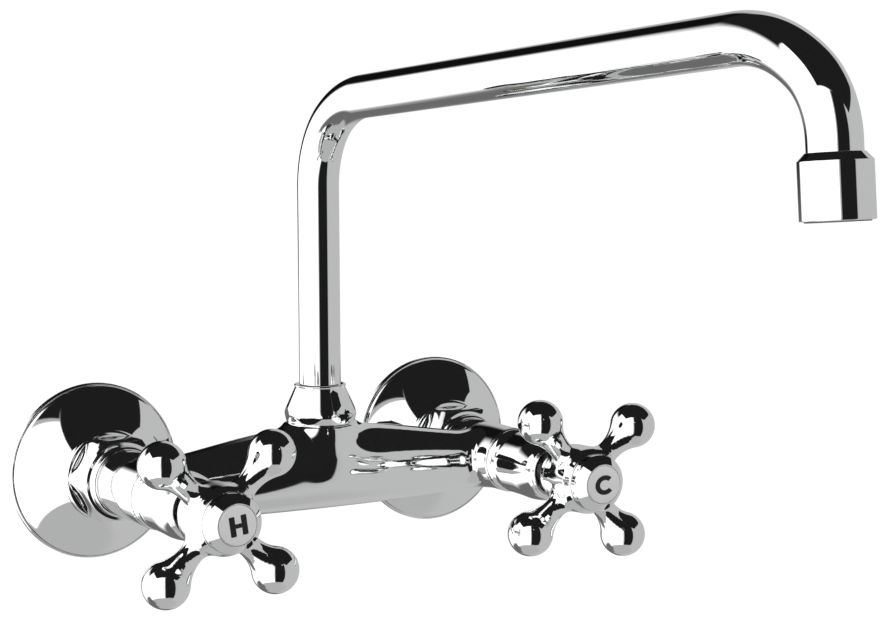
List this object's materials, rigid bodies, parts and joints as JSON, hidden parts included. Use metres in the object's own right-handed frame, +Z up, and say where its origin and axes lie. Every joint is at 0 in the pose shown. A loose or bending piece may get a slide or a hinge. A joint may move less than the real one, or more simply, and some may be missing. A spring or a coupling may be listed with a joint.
{
  "type": "wall kitchen faucet",
  "caption": "Wall mounted kitchen faucet with cross handles, a cast bridge body, a tall swivel tube spout with a long arm, an aerator outlet and round wall roses.",
  "frame": {"origin": "midway between the axes of the wall tails, in the wall plane where the roses' rims rest", "axes": "+Z up, -Y straight out of the wall towards the user, +X to the user's right (cold side)"},
  "size_m": [0.218, 0.3867, 0.2062],
  "materials": {
    "body_chrome": "mirror polished chromium plating",
    "rose_chrome": "mirror polished chromium plating",
    "nut_chrome": "mirror polished chromium plating",
    "shroud_chrome": "mirror polished chromium plating",
    "handle_chrome": "mirror polished chromium plating",
    "tube_chrome": "mirror polished chromium plating",
    "collar_chrome": "mirror polished chromium plating",
    "brass": "machined brass",
    "rubber_seal": "matt black rubber",
    "fibre_washer": "matt fibre",
    "ceramic": "lapped alumina",
    "spring_steel": "bright steel",
    "index_plastic": "light grey moulding with a black letter",
    "aerator_plastic": "moulded acetal",
    "slip_plastic": "moulded acetal",
    "screen_steel": "stainless screen"
  },
  "bodies": {
    "root": {"faucet_body": "body_chrome", "inlet_union_hot": "nut_chrome", "escutcheon_hot": "rose_chrome", "union_nut_hot": "nut_chrome", "union_washer_hot": "fibre_washer", "inlet_tailpiece_hot": "brass", "seat_seal_hot": "rubber_seal", "fixed_disc_hot": "ceramic", "bonnet_seal_hot": "fibre_washer", "valve_bonnet_hot": "brass", "valve_shroud_hot": "shroud_chrome", "inlet_union_cold": "nut_chrome", "escutcheon_cold": "rose_chrome", "union_nut_cold": "nut_chrome", "union_washer_cold": "fibre_washer", "inlet_tailpiece_cold": "brass", "seat_seal_cold": "rubber_seal", "fixed_disc_cold": "ceramic", "bonnet_seal_cold": "fibre_washer", "valve_bonnet_cold": "brass", "valve_shroud_cold": "shroud_chrome", "spout_nut": "nut_chrome"},
    "spout": {"spout_tube": "tube_chrome", "spout_ferrule": "brass", "spout_orings": "rubber_seal", "spout_split_ring": "slip_plastic", "outlet_collar": "collar_chrome", "aerator_housing": "aerator_plastic", "aerator_gasket": "rubber_seal", "aerator_diffuser": "aerator_plastic", "aerator_screen": "screen_steel"},
    "hot_valve": {"turning_disc_hot": "ceramic", "spindle_hot": "brass", "spindle_orings_hot": "rubber_seal", "spindle_clip_hot": "spring_steel", "cross_handle_hot": "handle_chrome", "handle_screw_hot": "spring_steel", "index_cap_hot": "handle_chrome", "index_disc_hot": "index_plastic"},
    "cold_valve": {"turning_disc_cold": "ceramic", "spindle_cold": "brass", "spindle_orings_cold": "rubber_seal", "spindle_clip_cold": "spring_steel", "cross_handle_cold": "handle_chrome", "handle_screw_cold": "spring_steel", "index_cap_cold": "handle_chrome", "index_disc_cold": "index_plastic"}
  },
  "joints": [
    {"name": "spout_swivel", "type": "hinge", "parent": "root", "child": "spout", "pos_m": [0, -0.0465, 0.027], "axis": [0, 0, 1], "range_deg": [-90, 90]},
    {"name": "hot_valve_turn", "type": "hinge", "parent": "root", "child": "hot_valve", "pos_m": [-0.075, -0.1, 0.007], "axis": [0, -1, 0], "range_deg": [0, 180]},
    {"name": "cold_valve_turn", "type": "hinge", "parent": "root", "child": "cold_valve", "pos_m": [0.075, -0.1, 0.007], "axis": [0, -1, 0], "range_deg": [0, 180]}
  ]
}
